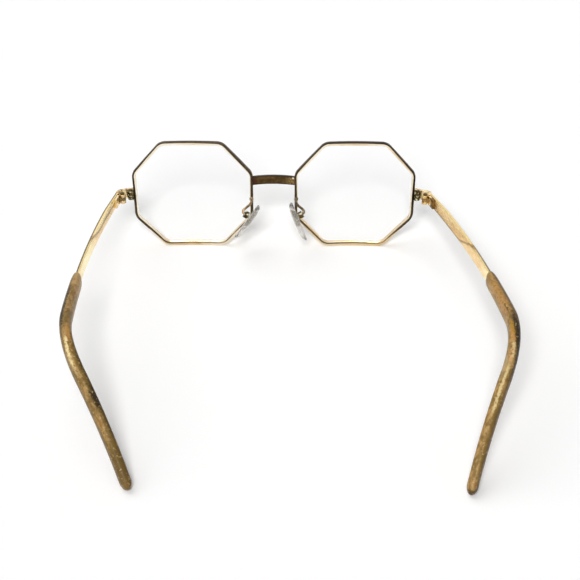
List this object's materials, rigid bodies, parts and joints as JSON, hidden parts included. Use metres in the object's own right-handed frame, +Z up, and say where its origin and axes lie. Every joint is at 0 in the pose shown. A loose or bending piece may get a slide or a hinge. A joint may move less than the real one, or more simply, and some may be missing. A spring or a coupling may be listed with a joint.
{
  "type": "eyeglass frame",
  "caption": "Octagonal metal wire-rim eyeglasses with a flat bridge strap, adjustable clear nose pads, folding temples with curved plastic tips, and clear lenses.",
  "frame": {"origin": "centre of the bounding box on the table that the open glasses stand on, under both rims and both temple tips", "axes": "+X towards the wearer's right, +Y the way the wearer looks, +Z up"},
  "size_m": [0.1494, 0.143, 0.0453],
  "materials": {
    "rim_gold": "polished yellow gold plate, worn dark in places",
    "gold": "polished pale yellow gold plate",
    "dark_gold": "worn gold plate with dark recesses",
    "bronze": "darkened gold plate, satin",
    "tip_plastic": "semi-gloss mottled olive-brown cellulose plastic",
    "pad_clear": "clear plastic, smooth",
    "lens_glass": "clear and colourless"
  },
  "bodies": {
    "front": {"bridge": "bronze", "left_rim": "rim_gold", "right_rim": "rim_gold", "left_lens": "lens_glass", "right_lens": "lens_glass", "left_lock_upper": "dark_gold", "right_lock_upper": "dark_gold", "left_lock_lower": "dark_gold", "right_lock_lower": "dark_gold", "left_lock_screw": "dark_gold", "right_lock_screw": "dark_gold", "left_end_piece": "gold", "right_end_piece": "gold", "left_front_hinge": "gold", "right_front_hinge": "gold", "left_hinge_screw": "dark_gold", "right_hinge_screw": "dark_gold", "left_pad_arm": "dark_gold", "right_pad_arm": "dark_gold", "left_pad_box": "dark_gold", "right_pad_box": "dark_gold", "left_pad_screw": "dark_gold", "right_pad_screw": "dark_gold"},
    "left_temple_body": {"left_temple": "gold", "left_temple_tip": "tip_plastic", "left_temple_hinge": "gold"},
    "right_temple_body": {"right_temple": "gold", "right_temple_tip": "tip_plastic", "right_temple_hinge": "gold"},
    "left_pad_body": {"left_nose_pad": "pad_clear", "left_pad_insert": "dark_gold"},
    "right_pad_body": {"right_nose_pad": "pad_clear", "right_pad_insert": "dark_gold"}
  },
  "joints": [
    {"name": "left_temple_fold", "type": "hinge", "parent": "front", "child": "left_temple_body", "pos_m": [-0.06671, 0.06403, 0.02282], "axis": [0, 0.1023, 0.9948], "range_deg": [-10, 87]},
    {"name": "right_temple_fold", "type": "hinge", "parent": "front", "child": "right_temple_body", "pos_m": [0.05369, 0.06403, 0.02282], "axis": [0, -0.1023, -0.9948], "range_deg": [-1, 83]},
    {"name": "left_pad_rock", "type": "hinge", "parent": "front", "child": "left_pad_body", "pos_m": [-0.01701, 0.05894, 0.01832], "axis": [0.2306, 0.9488, -0.2157], "range_deg": [-17, 3]},
    {"name": "right_pad_rock", "type": "hinge", "parent": "front", "child": "right_pad_body", "pos_m": [0.00399, 0.05894, 0.01832], "axis": [-0.2306, 0.9488, -0.2157], "range_deg": [-17, 3]}
  ]
}
